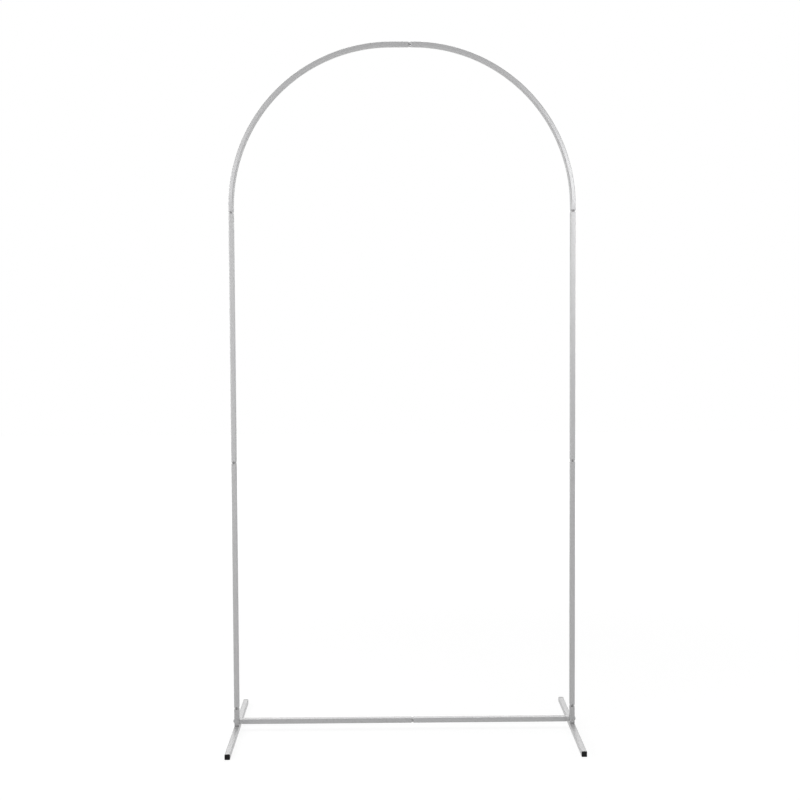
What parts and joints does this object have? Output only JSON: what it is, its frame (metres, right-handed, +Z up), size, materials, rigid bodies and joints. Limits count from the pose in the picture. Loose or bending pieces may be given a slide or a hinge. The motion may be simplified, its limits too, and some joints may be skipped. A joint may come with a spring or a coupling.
{
  "type": "metal arbor",
  "caption": "Free-standing arched arbor frame of slim square steel tube on two cross feet, with plug-in tube joints and a bottom rail.",
  "frame": {"origin": "on the ground, midway between the two posts and midway along the feet", "axes": "+Z up, +X to the right seen from the front, and the front faces -Y"},
  "size_m": [1.006, 0.5, 2],
  "materials": {
    "frame_paint": "satin silver-grey powder coat",
    "weld": "rippled weld under the same powder coat",
    "zinc": "zinc-plated steel",
    "cap_plastic": "black moulded plastic"
  },
  "bodies": {
    "root": {"arch_tube_left": "frame_paint", "arch_tube_right": "frame_paint", "upper_post_left": "frame_paint", "upper_post_right": "frame_paint", "lower_post_left": "frame_paint", "lower_post_right": "frame_paint", "bottom_rail_left": "frame_paint", "bottom_rail_right": "frame_paint", "post_socket_left": "frame_paint", "post_socket_right": "frame_paint", "foot_bar_left": "frame_paint", "foot_bar_right": "frame_paint", "weld_bead_front_left": "weld", "weld_bead_front_right": "weld", "weld_bead_rear_left": "weld", "weld_bead_rear_right": "weld", "rail_insert_left": "frame_paint", "rail_insert_right": "frame_paint", "rail_bolt_left": "zinc", "rail_bolt_right": "zinc", "foot_cap_front_left": "cap_plastic", "foot_cap_front_right": "cap_plastic", "foot_cap_rear_left": "cap_plastic", "foot_cap_rear_right": "cap_plastic"}
  },
  "joints": []
}
